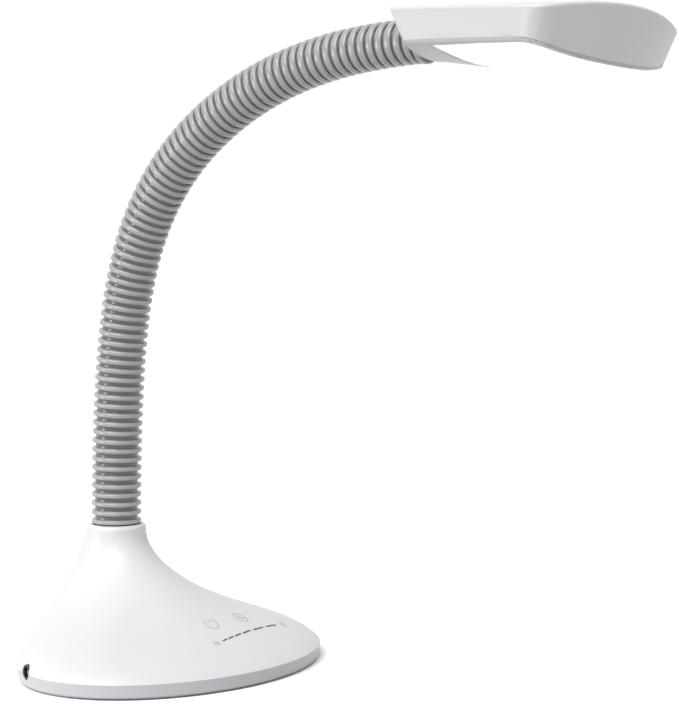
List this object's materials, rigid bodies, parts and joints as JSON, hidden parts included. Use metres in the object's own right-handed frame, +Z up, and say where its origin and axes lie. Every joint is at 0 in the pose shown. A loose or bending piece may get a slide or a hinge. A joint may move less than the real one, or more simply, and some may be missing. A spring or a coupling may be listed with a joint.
{
  "type": "light therapy lamp",
  "caption": "Desk light therapy lamp: flared oval base with touch controls, ribbed bendable gooseneck and a wide flat light head.",
  "frame": {"origin": "centre of the oval base's footprint, on the table", "axes": "+Z up, +X to the front, the way that the head reaches, +Y to the lamp's left"},
  "size_m": [0.3674, 0.1918, 0.3527],
  "materials": {
    "shell_white": "satin",
    "tray_grey": "satin",
    "weight_steel": "rough",
    "pad_rubber": "matte",
    "screw_steel": "plated",
    "jack_black": "moulded",
    "contact_brass": "plated",
    "insulation": "matte",
    "circuit_green": "lacquered",
    "circuit_white": "lacquered",
    "neck_steel": "drawn",
    "bush_grey": "moulded",
    "sleeve_grey": "satin",
    "bezel_grey": "satin",
    "diffuser": "opal",
    "reflector_white": "matte",
    "led": "clear coated",
    "spreader": "rolled"
  },
  "bodies": {
    "base": {"base_shell": "shell_white", "base_tray": "tray_grey", "base_weight": "weight_steel", "non_slip_pad": "pad_rubber", "base_screws": "screw_steel", "dc_jack": "jack_black", "jack_pin": "contact_brass", "insulating_pad": "insulation", "driver_board": "circuit_green", "control_board": "circuit_green", "touch_pads": "contact_brass", "neck_anchor": "neck_steel", "anchor_nut": "screw_steel", "collar_bush": "bush_grey"},
    "link_1": {"neck_core_1": "neck_steel", "neck_sleeve_1": "sleeve_grey"},
    "link_2": {"neck_core_2": "neck_steel", "neck_sleeve_2": "sleeve_grey"},
    "link_3": {"neck_core_3": "neck_steel", "neck_sleeve_3": "sleeve_grey"},
    "link_4": {"neck_core_4": "neck_steel", "neck_sleeve_4": "sleeve_grey"},
    "link_5": {"neck_core_5": "neck_steel", "neck_sleeve_5": "sleeve_grey"},
    "link_6": {"neck_core_6": "neck_steel", "neck_sleeve_6": "sleeve_grey"},
    "link_7": {"neck_core_7": "neck_steel", "neck_sleeve_7": "sleeve_grey"},
    "link_8": {"neck_core_8": "neck_steel", "neck_sleeve_8": "sleeve_grey"},
    "link_9": {"neck_core_9": "neck_steel", "neck_sleeve_9": "sleeve_grey"},
    "link_10": {"neck_core_10": "neck_steel", "neck_sleeve_10": "sleeve_grey"},
    "head": {"head_bracket": "neck_steel", "sleeve_end": "sleeve_grey", "head_cover": "shell_white", "head_bezel": "bezel_grey", "diffuser": "diffuser", "reflector": "reflector_white", "led_board": "circuit_white", "leds": "led", "heat_spreader": "spreader", "head_screws": "screw_steel"}
  },
  "joints": [
    {"name": "lower_bend_1", "type": "hinge", "parent": "base", "child": "link_1", "pos_m": [-0.0436, 0, 0.0753], "axis": [0, 1, 0], "range_deg": [-8, 8]},
    {"name": "side_bend_2", "type": "hinge", "parent": "link_1", "child": "link_2", "pos_m": [-0.04291, 0, 0.11469], "axis": [0.9994, 0, -0.0349], "range_deg": [-10, 10]},
    {"name": "lower_bend_3", "type": "hinge", "parent": "link_2", "child": "link_3", "pos_m": [-0.04064, 0, 0.15402], "axis": [0, 1, 0], "range_deg": [-8, 8]},
    {"name": "lower_bend_4", "type": "hinge", "parent": "link_3", "child": "link_4", "pos_m": [-0.03578, 0, 0.19311], "axis": [0, 1, 0], "range_deg": [-8, 8]},
    {"name": "side_bend_5", "type": "hinge", "parent": "link_4", "child": "link_5", "pos_m": [-0.02546, 0, 0.23107], "axis": [0.9348, 0, -0.3551], "range_deg": [-10, 10]},
    {"name": "upper_bend_6", "type": "hinge", "parent": "link_5", "child": "link_6", "pos_m": [-0.00634, 0, 0.26536], "axis": [0, 1, 0], "range_deg": [-10, 9]},
    {"name": "upper_bend_7", "type": "hinge", "parent": "link_6", "child": "link_7", "pos_m": [0.02158, 0, 0.29299], "axis": [0, 1, 0], "range_deg": [-10, 9]},
    {"name": "side_bend_8", "type": "hinge", "parent": "link_7", "child": "link_8", "pos_m": [0.05529, 0, 0.31324], "axis": [0.4242, 0, -0.9056], "range_deg": [-10, 10]},
    {"name": "upper_bend_9", "type": "hinge", "parent": "link_8", "child": "link_9", "pos_m": [0.09228, 0, 0.32667], "axis": [0, 1, 0], "range_deg": [-10, 9]},
    {"name": "upper_bend_10", "type": "hinge", "parent": "link_9", "child": "link_10", "pos_m": [0.13097, 0, 0.33391], "axis": [0, 1, 0], "range_deg": [-10, 9]},
    {"name": "upper_bend_11", "type": "hinge", "parent": "link_10", "child": "head", "pos_m": [0.17028, 0, 0.33645], "axis": [0, 1, 0], "range_deg": [-10, 9]}
  ],
  "couplings": [
    {"joint": "lower_bend_3", "follows": "lower_bend_1", "ratio": 1},
    {"joint": "lower_bend_4", "follows": "lower_bend_1", "ratio": 1},
    {"joint": "side_bend_5", "follows": "side_bend_2", "ratio": 1},
    {"joint": "upper_bend_7", "follows": "upper_bend_6", "ratio": 1},
    {"joint": "side_bend_8", "follows": "side_bend_2", "ratio": 1},
    {"joint": "upper_bend_9", "follows": "upper_bend_6", "ratio": 1},
    {"joint": "upper_bend_10", "follows": "upper_bend_6", "ratio": 1},
    {"joint": "upper_bend_11", "follows": "upper_bend_6", "ratio": 1}
  ]
}
